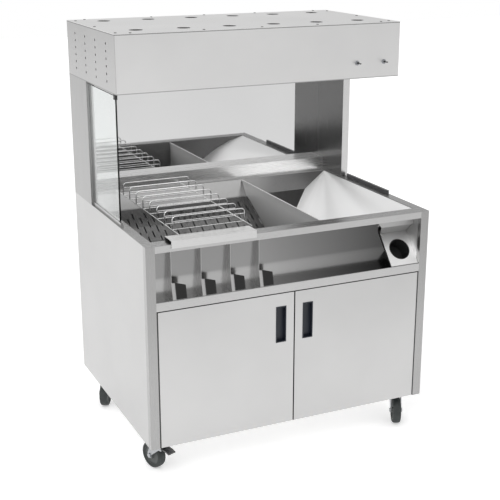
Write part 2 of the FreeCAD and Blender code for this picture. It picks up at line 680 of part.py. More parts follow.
def wire_tube(points, bend, radius):
    """Round wire along straight runs joined by tangent arcs."""
    points = [Vector(*point) for point in points]
    edges = []
    start = points[0]
    for before, corner, after in zip(points, points[1:], points[2:]):
        into = (before - corner).normalize()
        out = (after - corner).normalize()
        half_angle = into.getAngle(out) / 2
        reach = bend / math.tan(half_angle)
        first = corner + into * reach
        last = corner + out * reach
        to_centre = (into + out).normalize()
        middle = corner + to_centre * (bend / math.sin(half_angle) - bend)
        edges.append(Part.makeLine(start, first))
        edges.append(Part.Arc(first, middle, last).toShape())
        start = last
    edges.append(Part.makeLine(start, points[-1]))
    path = Part.Wire(edges)
    direction = (points[1] - points[0]).normalize()
    ring = Part.Wire([Part.makeCircle(radius, points[0], direction)])
    return path.makePipeShell([ring], True, True)


def rack():
    """Eight wire loops welded on two rails, which hang on a plate hooked over the front rim."""
    left = number("rack_left")
    right = number("rack_right")
    rail = number("rack_rail")
    radius = number("wire_radius")
    bend = 12
    rails = []
    for x in (left, right):
        rails.append(wire_tube([(x, number("bracket_back"), rail), (x, number("rack_back"), rail),
                                (x, number("rack_back"), number("rack_foot"))], 6, radius))
    loops = []
    for index in range(8):
        y = number(f"rack_first + {index} * rack_pitch")
        top = number("rack_top")
        loop = wire_tube([(left, y, rail), (left, y, top), (right, y, top), (right, y, rail)],
                         bend, radius)
        bars = [Part.makeCylinder(radius * 0.8, right - left, Vector(left, y, height),
                                  Vector(1, 0, 0)) for height in (number("rack_middle"), rail + 1)]
        loops.append(loop.multiFuse(bars).cut(rails))
    wire_frame = doc.addObject("Part::Feature", "rack_wires")
    wire_frame.Shape = Part.makeCompound(rails + loops)
    profile = [("bracket_front", "bracket_drop"), ("bracket_front", "bracket_top"),
               ("bracket_back", "bracket_top"), ("bracket_back", "bracket_drop")]
    bracket = bent_sheet("rack_hook", "yz", profile, "thin_gauge", "bracket_left", "bracket_right")
    node(bracket, "rack_bracket")
    node(wire_frame, "carton_rack")


# ---- Castors ----

CASTORS = {
    "front_left": (-1, "castor_front"), "front_right": (1, "castor_front"),
    "rear_left": (-1, "castor_back"), "rear_right": (1, "castor_back"),
}


def castor_place(item, name, angle, forward="0", height="0"):
    """Puts a piece drawn round the swivel axis, with the wheel trailing along +Y, on its castor."""
    sign, row = CASTORS[name]
    turn = f"turn_{name}"
    move(item, f"{sign} * castor_side - sin({turn}) * ({forward})",
         f"{row} + cos({turn}) * ({forward})", height, Rotation(Vector(0, 0, 1), angle))


def castor_fork(name, angle):
    leg_side = [
        ("pedal_place - 6", "fork_top"), ("26", "fork_top"), ("trail + 11", "56"), ("trail + 8", "41"),
        ("trail - 8", "41"), ("trail - 12", "56"), ("pedal_place + 6", "88"), ("pedal_place - 6", "88"),
    ]
    pieces = [block(f"fork_top_{name}", ("-leg_outer", "leg_outer"), ("pedal_place - 6", "26"),
                    ("fork_top - fork_plate", "fork_top")),
              rod(f"fork_ring_{name}", "z", "27", ("fork_top", "fork_top + 3.7"), ("0", "0")),
              rod(f"axle_{name}", "x", "axle_radius", ("-leg_outer", "leg_outer"),
                  ("trail", "wheel_radius"))]
    for side, sign in SIDES.items():
        pieces.append(prism(f"fork_leg_{side}_{name}", "yz", leg_side,
                            *across(sign, "leg_inner", "leg_outer")))
        pieces.append(rod(f"axle_nut_{side}_{name}", "x", "8", across(sign, "leg_outer", "leg_outer + 4"),
                          ("trail", "wheel_radius")))
    if name.startswith("front"):
        pieces.append(rod(f"pedal_pin_{name}", "x", "pedal_pin", ("-leg_outer", "leg_outer"),
                          ("pedal_place", "pedal_height")))
    solid = fuse(f"fork_solid_{name}", *pieces)
    bore = rod(f"fork_bore_{name}", "z", "kingpin_radius + axle_fit",
               ("fork_top - 10", "fork_top + 10"), ("0", "0"))
    fork = cut(f"castor_fork_{name}", solid, bore)
    castor_place(fork, name, angle)
    node(fork, f"castor_fork_{name}")


def castor_wheel(name, angle):
    """Tyre, rim, web and hub in one turned profile round the axle."""
    body = doc.addObject("PartDesign::Body", f"castor_wheel_{name}")
    sketch = flat_sketch(body, "xy", f"wheel_profile_{name}")
    half = [("17.5", "12"), ("9", "14"), ("9", "34"), ("14", "36"), ("16", "40"), ("16", "44"),
            ("11", "wheel_radius")]
    bore = "axle_radius + axle_fit"
    left_half = [(f"-({x})", radius) for x, radius in reversed(half)]
    draw_path(sketch, [("-17.5", bore), ("17.5", bore)] + half + left_half, True)
    turned = body.newObject("PartDesign::Revolution", f"wheel_turned_{name}")
    turned.Profile = sketch
    turned.ReferenceAxis = (sketch, ["H_Axis"])
    turned.Angle = 360
    sketch.Visibility = False
    body.Tip = turned
    castor_place(body, name, angle, "trail", "wheel_radius")
    node(body, f"castor_wheel_{name}")


def brake_pedal(name, angle):
    hub = rod(f"pedal_hub_{name}", "x", "5", ("-pedal_half", "pedal_half"),
              ("pedal_place", "pedal_height"))
    side = [("pedal_place + 7", "pedal_height - 3"), ("pedal_place + 7", "pedal_height + 1"),
            ("pedal_place", "pedal_height + 2"), ("pedal_tip + 14", "pedal_height - 2"),
            ("pedal_tip", "pedal_height - 7"), ("pedal_tip", "pedal_height - 11"),
            ("pedal_tip + 14", "pedal_height - 7"), ("pedal_place", "pedal_height - 3")]
    plate = prism(f"pedal_plate_{name}", "yz", side, "-pedal_half", "pedal_half")
    bore = rod(f"pedal_bore_{name}", "x", "pedal_pin + axle_fit", ("-pedal_half - 1", "pedal_half + 1"),
               ("pedal_place", "pedal_height"))
    pedal = cut(f"brake_pedal_{name}", fuse(f"pedal_solid_{name}", hub, plate), bore)
    castor_place(pedal, name, angle)
    node(pedal, f"brake_pedal_{name}")


def castors():
    plates = []
    for name, (sign, row) in CASTORS.items():
        angle = number(f"turn_{name}")
        castor_fork(name, angle)
        castor_wheel(name, angle)
        if name.startswith("front"):
            brake_pedal(name, angle)
        place = (f"{sign} * castor_side", row)
        plate = block(f"castor_top_{name}", (f"{place[0]} - 40", f"{place[0]} + 40"),
                      (f"{row} - 50", f"{row} + 50"), ("cabinet_bottom - 3.5", "cabinet_bottom"))
        race = rod(f"castor_race_{name}", "z", "28", ("fork_top + 4", "cabinet_bottom - 3.5"), place)
        kingpin = rod(f"kingpin_{name}", "z", "kingpin_radius", ("98", "cabinet_bottom"), place)
        head = rod(f"kingpin_head_{name}", "z", "10", ("98", "103"), place)
        plates.append(fuse(f"castor_plate_{name}", plate, race, kingpin, head))
    node(group("castor_plates", *plates), "castor_plates")


def power_inlet():
    """Recessed appliance inlet with three blades on the back of the cabinet."""
    x = ("inlet_left", "inlet_left + inlet_width")
    z = ("inlet_bottom", "inlet_bottom + inlet_height")
    cup = hollow("inlet_cup", x, (f"{BACK} - inlet_deep", f"{BACK} + inlet_proud"), z, "2 * gauge", "y+")
    flange = hollow("inlet_flange", (f"{x[0]} - 10", f"{x[1]} + 10"), (BACK, f"{BACK} + inlet_proud"),
                    (f"{z[0]} - 6", f"{z[1]} + 6"), "12", "y- y+")
    middle = "inlet_left + inlet_width / 2"
    blades = [block(f"inlet_blade_{index}", (f"{middle} + {offset} - 1", f"{middle} + {offset} + 1"),
                    (f"{BACK} - inlet_deep", f"{BACK} - inlet_proud"),
                    (f"{z[0]} + 11 + {lift}", f"{z[0]} + 17 + {lift}"))
              for index, (offset, lift) in enumerate([(-7, 0), (0, 3), (7, 0)])]
    node(fuse("power_inlet", cup, flange, *blades), "power_inlet")


def save_nodes():
    """Stops on any failed object or shape, then writes one STEP file for each sub-part."""
    doc.recompute()
    for item in doc.Objects:
        if "Invalid" in item.State or "Error" in item.State:
            raise RuntimeError(f"{item.Label} failed: {item.State}")
    for item in nodes:
        if item.Shape.isNull() or not item.Shape.isValid() or not item.Shape.Solids:
            raise RuntimeError(f"{item.Label} has no valid solid")
    os.makedirs("parts", exist_ok=True)
    for item in nodes:
        item.Shape.exportStep(f"parts/{item.Label}.step")


cabinet_shell()
doors()
worktop()
screen()
divider()
rest_bar()
recess()
shaker()
gantry()
side_glass()
hood()
lamps()
toggles()
rack()
castors()
power_inlet()
save_nodes()
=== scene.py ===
import json
import math

import bmesh
import bpy
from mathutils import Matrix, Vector


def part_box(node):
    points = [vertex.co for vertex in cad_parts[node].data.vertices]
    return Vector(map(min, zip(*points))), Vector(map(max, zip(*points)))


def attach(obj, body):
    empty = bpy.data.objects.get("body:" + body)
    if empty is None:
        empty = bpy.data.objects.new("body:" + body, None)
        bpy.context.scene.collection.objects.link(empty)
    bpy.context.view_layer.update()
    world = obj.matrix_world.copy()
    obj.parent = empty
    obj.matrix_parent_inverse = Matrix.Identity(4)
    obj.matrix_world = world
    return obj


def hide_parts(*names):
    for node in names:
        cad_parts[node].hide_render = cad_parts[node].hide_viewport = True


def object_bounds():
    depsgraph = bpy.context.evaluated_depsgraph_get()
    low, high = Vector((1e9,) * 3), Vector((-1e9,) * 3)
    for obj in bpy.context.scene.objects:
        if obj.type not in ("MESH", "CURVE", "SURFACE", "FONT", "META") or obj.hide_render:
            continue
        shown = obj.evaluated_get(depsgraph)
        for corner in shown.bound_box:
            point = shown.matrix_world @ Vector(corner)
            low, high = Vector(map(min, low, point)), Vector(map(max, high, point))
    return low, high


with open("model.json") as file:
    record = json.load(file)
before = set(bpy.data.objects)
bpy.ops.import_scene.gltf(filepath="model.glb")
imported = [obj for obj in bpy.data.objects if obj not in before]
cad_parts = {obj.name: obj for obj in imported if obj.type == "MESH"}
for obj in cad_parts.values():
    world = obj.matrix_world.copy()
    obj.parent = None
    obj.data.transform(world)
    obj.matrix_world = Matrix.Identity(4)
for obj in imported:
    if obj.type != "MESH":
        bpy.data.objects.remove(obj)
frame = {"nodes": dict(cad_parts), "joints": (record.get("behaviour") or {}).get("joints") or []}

# Heated serving station: imported CAD solids with procedural finishes and painted light and shade,
# turned castor wheels, a smooth ramp, a shaker bracket and a plain studio. Metres, +Z up, front
# towards -Y.

NODES = frame["nodes"]
CAD_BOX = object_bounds()
MM = 0.001


# ---- Node helpers ----

class Shader:
    """A new material with its Principled shader and short ways to add nodes to it."""

    def __init__(self, name):
        self.material = bpy.data.materials.new(name)
        self.material.use_nodes = True
        self.tree = self.material.node_tree
        self.surface = self.tree.nodes["Principled BSDF"]
        coordinates = self.add("ShaderNodeTexCoord")
        self.place = coordinates.outputs["Object"]

    def add(self, kind, **settings):
        node = self.tree.nodes.new(kind)
        for key, value in settings.items():
            setattr(node, key, value)
        return node

    def link(self, source, target):
        self.tree.links.new(source, target)

    def set(self, **values):
        for name, value in values.items():
            self.surface.inputs[name.replace("_", " ")].default_value = value

    def noise(self, scale, stretch=(1, 1, 1), detail=2.0, roughness=0.5):
        """Noise over the object's own coordinates, in cycles per metre along each axis."""
        mapping = self.add("ShaderNodeMapping")
        mapping.inputs["Scale"].default_value = [scale * part for part in stretch]
        texture = self.add("ShaderNodeTexNoise")
        texture.inputs["Scale"].default_value = 1.0
        texture.inputs["Detail"].default_value = detail
        texture.inputs["Roughness"].default_value = roughness
        self.link(self.place, mapping.inputs["Vector"])
        self.link(mapping.outputs["Vector"], texture.inputs["Vector"])
        return texture.outputs["Fac"]

    def spread(self, source, low, high, start=0.3, end=0.7):
        """Maps a 0 to 1 pattern onto a range of values."""
        node = self.add("ShaderNodeMapRange")
        node.inputs["From Min"].default_value = start
        node.inputs["From Max"].default_value = end
        node.inputs["To Min"].default_value = low
        node.inputs["To Max"].default_value = high
        self.link(source, node.inputs["Value"])
        return node.outputs["Result"]

    def tint(self, source, dark, light):
        """Colour between two tones by a noise pattern."""
        return self.blend(self.spread(source, 0, 1), dark, light)

    def along(self, axis, start, end):
        """0 to 1 between two places on one of the object's own axes, in metres."""
        split = self.add("ShaderNodeSeparateXYZ")
        self.link(self.place, split.inputs["Vector"])
        return self.spread(split.outputs[axis], 0, 1, start, end)

    def blend(self, factor, first, second):
        """Colour between two fixed colours by a 0 to 1 factor."""
        node = self.add("ShaderNodeMix", data_type="RGBA")
        self.link(factor, node.inputs[0])
        node.inputs[6].default_value = (*first, 1)
        node.inputs[7].default_value = (*second, 1)
        return node.outputs[2]

    def times(self, first, second):
        """Product of two colour outputs, never above white."""
        node = self.add("ShaderNodeMix", data_type="RGBA", blend_type="MULTIPLY", clamp_result=True)
        node.inputs[0].default_value = 1.0
        self.link(first, node.inputs[6])
        self.link(second, node.inputs[7])
        return node.outputs[2]

    def bump(self, source, distance):
        node = self.add("ShaderNodeBump")
        node.inputs["Strength"].default_value = 1.0
        node.inputs["Distance"].default_value = distance
        self.link(source, node.inputs["Height"])
        self.link(node.outputs["Normal"], self.surface.inputs["Normal"])


WARMTH = 0.004


def grey(tone, warmth=0.0):
    """Near-neutral colour; positive warmth leans to yellow."""
    return (tone * (1 + warmth), tone, tone * (1 - warmth))


# ---- Materials ----

def steel(name, tone, roughness, grain, depth, turns=(), metal=1.0):
    """Stainless sheet: fine grain in the roughness and bump, and broad faint patches in tone.

    Each turn (axis, start, end, factor) darkens or lightens the tone by that factor across
    start to end along one of the object's own axes; the turns paint light and shade.
    """
    shader = Shader(name)
    shader.set(Metallic=metal)
    patch = shader.noise(3.1, detail=3.0)
    colour = shader.tint(patch, grey(tone * 0.97, WARMTH), grey(tone * 1.03, WARMTH))
    for axis, start, end, factor in turns:
        shade = shader.blend(shader.along(axis, start, end), grey(1.0), grey(factor))
        colour = shader.times(colour, shade)
    shader.link(colour, shader.surface.inputs["Base Color"])
    fine = shader.noise(1.0, grain, detail=4.0, roughness=0.65)
    shader.link(shader.spread(fine, roughness * 0.82, roughness * 1.18),
                shader.surface.inputs["Roughness"])
    shader.bump(fine, depth * MM)
    return shader.material


GRAIN_ALONG_X = (9, 650, 650)
GRAIN_ALONG_Z = (650, 650, 9)
BLASTED = (900, 900, 900)


def wire_chrome():
    shader = Shader("wire_chrome")
    shader.set(Metallic=1.0)
    dull = shader.noise(60, detail=2.0)
    shader.link(shader.tint(dull, grey(0.82), grey(0.9)), shader.surface.inputs["Base Color"])
    shader.link(shader.spread(dull, 0.10, 0.2), shader.surface.inputs["Roughness"])
    shader.bump(dull, 0.01 * MM)
    return shader.material


def mirror_steel():
    shader = Shader("mirror_steel")
    shader.set(Metallic=1.0)
    haze = shader.noise(2.0, detail=2.0)
    shader.link(shader.tint(haze, grey(0.70), grey(0.74)), shader.surface.inputs["Base Color"])
    shader.link(shader.spread(haze, 0.015, 0.035), shader.surface.inputs["Roughness"])
    return shader.material


def clear_glass():
    shader = Shader("clear_glass")
    shader.set(Transmission_Weight=1.0, IOR=1.45)
    smear = shader.noise(5.0, detail=3.0)
    shader.link(shader.tint(smear, (0.93, 0.97, 0.96), (0.97, 0.99, 0.985)),
                shader.surface.inputs["Base Color"])
    shader.link(shader.spread(smear, 0.0, 0.02), shader.surface.inputs["Roughness"])
    return shader.material


def moulded_plastic(name, dark, light, roughness):
    shader = Shader(name)
    shader.set(Metallic=0.0, IOR=1.5)
    spots = shader.noise(1400, detail=2.0)
    broad = shader.noise(14, detail=2.0)
    shader.link(shader.tint(broad, dark, light), shader.surface.inputs["Base Color"])
    shader.link(shader.spread(broad, roughness * 0.85, roughness * 1.15),
                shader.surface.inputs["Roughness"])
    shader.bump(spots, 0.03 * MM)
    return shader.material


def tyre_rubber():
    shader = Shader("tyre_rubber")
    shader.set(Metallic=0.0, IOR=1.5)
    dust = shader.noise(35, detail=5.0, roughness=0.7)
    shader.link(shader.tint(dust, (0.014, 0.018, 0.018), (0.040, 0.046, 0.045)),
                shader.surface.inputs["Base Color"])
    shader.link(shader.spread(dust, 0.5, 0.75), shader.surface.inputs["Roughness"])
    shader.bump(dust, 0.15 * MM)
    return shader.material


def zinc_plate():
    shader = Shader("zinc_plate")
    shader.set(Metallic=1.0)
    spangle = shader.noise(220, detail=3.0)
    shader.link(shader.tint(spangle, (0.33, 0.34, 0.36), (0.50, 0.51, 0.52)),
                shader.surface.inputs["Base Color"])
    shader.link(shader.spread(spangle, 0.24, 0.42), shader.surface.inputs["Roughness"])
    shader.bump(spangle, 0.04 * MM)
    return shader.material


def quartz_tube():
    shader = Shader("quartz_tube")
    shader.set(Metallic=0.0, IOR=1.46, Coat_Weight=0.4)
    frost = shader.noise(90, detail=3.0)
    shader.link(shader.tint(frost, (0.78, 0.72, 0.66), (0.92, 0.89, 0.85)),
                shader.surface.inputs["Base Color"])
    shader.link(shader.spread(frost, 0.15, 0.35), shader.surface.inputs["Roughness"])
    return shader.material


def fanned_steel(name, tone, roughness, apex):
    """Bright pressed sheet with painted reflection: faint light and dark bands that fan out from a
    point.
    """
    shader = Shader(name)
    shader.set(Metallic=0.7)
    split = shader.add("ShaderNodeSeparateXYZ")
    shader.link(shader.place, split.inputs["Vector"])
    legs = []
    for axis, origin in (("Y", apex.y), ("X", apex.x)):
        leg = shader.add("ShaderNodeMath", operation="SUBTRACT")
        shader.link(split.outputs[axis], leg.inputs[0])
        leg.inputs[1].default_value = origin
        legs.append(leg.outputs["Value"])
    angle = shader.add("ShaderNodeMath", operation="ARCTAN2")
    shader.link(legs[0], angle.inputs[0])
    shader.link(legs[1], angle.inputs[1])
    # Painted reflection: the tone swings with the angle round the apex.
    bands = shader.add("ShaderNodeTexNoise", noise_dimensions="1D")
    bands.inputs["Scale"].default_value = 2.6
    bands.inputs["Detail"].default_value = 2.0
    shader.link(angle.outputs["Value"], bands.inputs["W"])
    shader.link(shader.tint(bands.outputs["Fac"], grey(tone * 0.86), grey(tone)),
                shader.surface.inputs["Base Color"])
    fine = shader.noise(1.0, BLASTED, detail=4.0, roughness=0.65)
    shader.link(shader.spread(fine, roughness * 0.85, roughness * 1.15),
                shader.surface.inputs["Roughness"])
    shader.bump(fine, 0.015 * MM)
    return shader.material


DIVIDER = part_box("basin_divider")
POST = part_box("gantry_post_right")
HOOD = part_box("hood_shell")
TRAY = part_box("recess_tray")
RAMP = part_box("dump_ramp")
DOOR_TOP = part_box("door_left")[1].z

# Depths in metres behind a part's outer face where its tone turns: one depth, or start and end.
SKIN = (0.0008, 0.0012)
DOOR_FOLD = (0.0016, 0.001)
HOOD_TOP_FOLD = (0.0028, 0.0022)
HOOD_LOWER_FOLD = (0.0032, 0.0026)
HOOD_SIDE = 0.003
POST_EDGE = (0.0014, 0.0006)
BASIN_TURN = 0.01
DIVIDER_RIM = 0.03
# Distances in metres from the middle of the gap between the doors.
DOOR_EDGE = (0.0028, 0.0022)
# Places in metres where painted shade turns: X along the recess wall, Z up the shaker plate, and Z
# of the tray's bend.
TRAY_SHADE_PLACE = (-0.15, 0.40)
PLATE_SHADE_PLACE = (0.715, 0.762)
TRAY_BEND = TRAY[0].z + 0.06
BEND_BELOW = 0.004
BEND_ABOVE = 0.012
# Factors on a tone, for painted light and shade: painted shade on folds, the gaps round the doors
# and hollows, and painted light inside the cabinet and on faces that catch the light.
GAP_SHADE = 0.08
HOOD_TOP_SHADE = 0.35
HOOD_LOWER_SHADE = 0.55
HOOD_FRONT_PAINTED_LIGHT = 1.6
INSIDE_PAINTED_LIGHT = 1.7
POST_EDGE_PAINTED_LIGHT = 3.2
POST_OUTER_PAINTED_LIGHT = 2.5
TRAY_SHADE = 0.22
BEND_SHADE = 0.62
BASIN_SHADE = 0.7
DIVIDER_SHADE = 0.45
PLATE_SHADE = 0.5
# Painted shade on the doors' returned top folds.
DOOR_TOP_SHADE = ("Z", DOOR_TOP - DOOR_FOLD[0], DOOR_TOP - DOOR_FOLD[1], GAP_SHADE)

# Steel takes a name, a tone, a roughness, a grain, the grain's depth in millimetres and turns.
MATERIALS = {
    # Painted shade darkens the doors' returned edges where they meet at the gap, and their top
    # folds.
    "door_left": steel("door_left_steel", 0.57, 0.36, BLASTED, 0.02,
                       [("X", -DOOR_EDGE[0], -DOOR_EDGE[1], GAP_SHADE), DOOR_TOP_SHADE]),
    "door_right": steel("door_right_steel", 0.55, 0.36, BLASTED, 0.02,
                        [("X", DOOR_EDGE[0], DOOR_EDGE[1], GAP_SHADE), DOOR_TOP_SHADE]),
    # Painted light: the panels' inside faces are lighter than their outer skins.
    "panel": steel("panel_steel", 0.52, 0.36, BLASTED, 0.02,
                   [("X", CAD_BOX[0].x + SKIN[0], CAD_BOX[0].x + SKIN[1], INSIDE_PAINTED_LIGHT),
                    ("X", CAD_BOX[1].x - SKIN[1], CAD_BOX[1].x - SKIN[0], 1 / INSIDE_PAINTED_LIGHT),
                    ("Y", CAD_BOX[1].y - SKIN[1], CAD_BOX[1].y - SKIN[0], 1 / INSIDE_PAINTED_LIGHT)]),
    "cabinet_floor": steel("cabinet_floor_steel", 0.85, 0.36, BLASTED, 0.02),
    # Painted light lightens the hood beyond its left face; painted shade darkens its top and lower
    # folds.
    "hood": steel("hood_steel", 0.46, 0.34, BLASTED, 0.02,
                  [("X", HOOD[0].x, HOOD[0].x + HOOD_SIDE, HOOD_FRONT_PAINTED_LIGHT),
                   ("Z", HOOD[1].z - HOOD_TOP_FOLD[0], HOOD[1].z - HOOD_TOP_FOLD[1],
                    HOOD_TOP_SHADE),
                   ("Z", HOOD[0].z + HOOD_LOWER_FOLD[0], HOOD[0].z + HOOD_LOWER_FOLD[1],
                    HOOD_LOWER_SHADE)]),
    "hood_top": steel("hood_top_steel", 0.75, 0.33, BLASTED, 0.02),
    "underside": steel("underside_steel", 0.42, 0.35, BLASTED, 0.02),
    "inner": steel("inner_steel", 0.38, 0.34, GRAIN_ALONG_Z, 0.015),
    # Painted reflection: the post's dark tone stands for the dark surroundings its inner faces
    # reflect, and painted light lightens its front and outer faces.
    "right_post": steel("post_inner_painted_reflection_steel", 0.21, 0.24, GRAIN_ALONG_Z, 0.02,
                        [("Y", POST[0].y + POST_EDGE[0], POST[0].y + POST_EDGE[1],
                          POST_EDGE_PAINTED_LIGHT),
                         ("X", POST[1].x - SKIN[1], POST[1].x - SKIN[0], POST_OUTER_PAINTED_LIGHT)]),
    # Painted shade darkens the recess tray towards the right and above its bend.
    "tray": steel("tray_steel", 0.42, 0.2, BLASTED, 0.01,
                  [("X", *TRAY_SHADE_PLACE, TRAY_SHADE),
                   ("Z", TRAY_BEND - BEND_BELOW, TRAY_BEND + BEND_ABOVE, BEND_SHADE)]),
    "fin": steel("fin_steel", 0.52, 0.30, BLASTED, 0.02),
    "rail_x": steel("rail_steel", 0.52, 0.30, GRAIN_ALONG_X, 0.015),
    "rim": steel("rim_steel", 0.33, 0.28, GRAIN_ALONG_X, 0.015),
    "bright": steel("bright_steel", 0.90, 0.28, GRAIN_ALONG_X, 0.015),
    "bracket": steel("bracket_steel", 0.66, 0.30, GRAIN_ALONG_X, 0.015),
    "post_z": steel("post_steel", 0.38, 0.28, GRAIN_ALONG_Z, 0.05),
    "hinge": steel("hinge_steel", 0.07, 0.4, BLASTED, 0.05),
    # Painted shade darkens the basin to the right of the divider.
    "basin": steel("basin_steel", 0.30, 0.30, BLASTED, 0.01,
                   [("X", DIVIDER[0].x, DIVIDER[0].x + BASIN_TURN, BASIN_SHADE)]),
    "screen": steel("screen_steel", 0.14, 0.28, BLASTED, 0.01),
    # Painted shade darkens the divider from its rim down towards the bottom of the basin.
    "divider": steel("divider_steel", 0.78, 0.50, BLASTED, 0.01,
                     [("Z", DIVIDER[1].z - DIVIDER_RIM, DIVIDER[0].z, DIVIDER_SHADE)], metal=0.5),
    # Painted shade darkens the shaker plate towards its fold.
    "plate": steel("holder_steel", 0.88, 0.42, GRAIN_ALONG_X, 0.015,
                   [("Z", *PLATE_SHADE_PLACE, PLATE_SHADE)], metal=0.7),
    # Painted reflection: near-black steel stands for the dark surroundings that the carton stops
    # reflect.
    "stop": steel("stop_painted_reflection_steel", 0.045, 0.22, BLASTED, 0.02),
    "pedal": steel("pedal_steel", 0.14, 0.35, BLASTED, 0.03),
    "ramp": fanned_steel("ramp_steel", 0.98, 0.42, Vector((RAMP[1].x, RAMP[1].y, 0))),
    "switch": steel("switch_metal", 0.16, 0.3, BLASTED, 0.02),
    "wire": wire_chrome(),
    "mirror": mirror_steel(),
    "glass": clear_glass(),
    "pull": moulded_plastic("pull_plastic", (0.006, 0.009, 0.016), (0.011, 0.015, 0.025), 0.4),
    "black": moulded_plastic("black_plastic", grey(0.012), grey(0.024), 0.45),
    "bar": moulded_plastic("bar_plastic", (0.05, 0.05, 0.052), (0.085, 0.085, 0.088), 0.42),
    "hub": moulded_plastic("hub_plastic", (0.055, 0.062, 0.062), (0.085, 0.092, 0.09), 0.4),
    "tyre": tyre_rubber(),
    "zinc": zinc_plate(),
    "quartz": quartz_tube(),
}

FINISHES = {
    "door_left": ["door_left"],
    "door_right": ["door_right"],
    "panel": ["left_side_panel", "right_side_panel", "cabinet_back_panel", "gantry_back_panel"],
    "hood": ["hood_shell"],
    "hood_top": ["hood_top_cover"],
    "cabinet_floor": ["cabinet_floor"],
    "underside": ["hood_underside", "lamp_reflectors"],
    "inner": ["gantry_post_left"],
    "right_post": ["gantry_post_right"],
    "tray": ["recess_tray"],
    "fin": ["carton_divider_1", "carton_divider_2", "carton_divider_3", "carton_divider_4"],
    "rail_x": ["lower_front_rail", "top_front_rail", "glass_channel"],
    "rim": ["worktop_frame"],
    "bright": ["rear_upstand"],
    "plate": ["shaker_holder"],
    "bracket": ["rack_bracket"],
    "post_z": ["left_front_post", "right_front_post"],
    "hinge": ["hinge_fixed_leaves", "hinge_left_door_leaf", "hinge_right_door_leaf"],
    "basin": ["basin_trough"],
    "screen": ["slotted_screen"],
    "divider": ["basin_divider"],
    "ramp": ["dump_ramp"],
    "wire": ["carton_rack"],
    "mirror": ["mirror_panel"],
    "glass": ["glass_pane"],
    "pull": ["door_left_pull", "door_right_pull"],
    "stop": ["carton_stops"],
    "black": ["shaker_cup", "glass_clip", "power_inlet"],
    "bar": ["basket_rest_bar"],
    "zinc": ["castor_plates", "castor_fork_front_left", "castor_fork_front_right",
             "castor_fork_rear_left", "castor_fork_rear_right", "toggle_bushes"],
    "pedal": ["brake_pedal_front_left", "brake_pedal_front_right"],
    "switch": ["toggle_lever_left", "toggle_lever_right", "hood_screws"],
    "quartz": ["heat_lamps"],
}
SMOOTH_ANGLE = math.radians(32)
CORNER_ANGLE = math.radians(50)
# Bevel widths in millimetres.
EDGE_ROUND = {"pull": 0.8, "bar": 1.0, "rail_x": 0.6, "panel": 0.6, "door_left": 0.6,
              "door_right": 0.6, "hood": 0.6, "post_z": 0.6, "zinc": 0.4,
              "black": 0.5, "rim": 0.6, "bright": 0.6}


def finish_nodes():
    """Gives each CAD node its material, smooth shading and, where listed, rounded edges."""
    for finish, names in FINISHES.items():
        for name in names:
            node = NODES[name]
            node.data.materials.clear()
            node.data.materials.append(MATERIALS[finish])
            node.data.shade_smooth()
            node.data.set_sharp_from_angle(angle=SMOOTH_ANGLE)
            if finish in EDGE_ROUND:
                rounding = node.modifiers.new("edges", "BEVEL")
                rounding.width = EDGE_ROUND[finish] * MM
                rounding.segments = 2
                rounding.limit_method = "ANGLE"
                rounding.angle_limit = CORNER_ANGLE
                rounding.harden_normals = True


# ---- New pieces ----

def add_piece(name, mesh, material, body):
    """A piece with one material that rides on a body."""
    piece = bpy.data.objects.new(name, mesh)
    bpy.context.scene.collection.objects.link(piece)
    mesh.materials.append(material)
    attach(piece, body)
    return piece


def lathe(name, profile, centre, axis):
    """Mesh turned from (offset along the axis, radius) points; the profile is a closed ring."""
    turn = Vector((1, 0, 0)).rotation_difference(axis).to_matrix()
    shape = bmesh.new()
    rings = []
    for step in range(WHEEL_STEPS):
        angle = 2 * math.pi * step / WHEEL_STEPS
        spoke = Vector((0, math.cos(angle), math.sin(angle)))
        rings.append([shape.verts.new(centre + turn @ (Vector((along, 0, 0)) + spoke * radius))
                      for along, radius in profile])
    for ring, after in zip(rings, rings[1:] + rings[:1]):
        count = len(profile)
        for index in range(count):
            follow = (index + 1) % count
            shape.faces.new([ring[index], ring[follow], after[follow], after[index]])
    bmesh.ops.recalc_face_normals(shape, faces=shape.faces)
    mesh = bpy.data.meshes.new(name)
    shape.to_mesh(mesh)
    shape.free()
    mesh.shade_smooth()
    mesh.set_sharp_from_angle(angle=SMOOTH_ANGLE)
    return mesh


# Half sections of the wheel in millimetres, from its left side; the right side mirrors them.
TYRE_HALF = [(-13, 37), (-15.5, 38.5), (-16, 42), (-15, 46), (-12.5, 48.6), (-8, 49.6),
             (-3, 49.95)]
HUB_HALF = [(-17.5, 4.1), (-17.5, 9), (-16.5, 11), (-12, 12.5), (-9, 15), (-8, 20), (-8, 30),
            (-10, 33.5), (-13.5, 35), (-13.5, 37.1)]
WHEEL_STEPS = 96


def castor_wheels():
    """Rubber tyre on a moulded hub, turned round each wheel's own axle."""
    for joint in frame["joints"]:
        body = joint["child"]
        if not body.startswith("castor_wheel_"):
            continue
        centre = Vector(joint["pos_m"])
        axis = Vector(joint["axis"])
        for part, half in (("tyre", TYRE_HALF), ("hub", HUB_HALF)):
            profile = half + [(-along, radius) for along, radius in reversed(half)]
            points = [(along * MM, radius * MM) for along, radius in profile]
            mesh = lathe(f"{body}_{part}", points, centre, axis)
            piece = add_piece(f"{body}_{part}", mesh, MATERIALS[part], body)
            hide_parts(body)


FOLD_ANGLE = math.radians(15)
WELD = 0.01 * MM


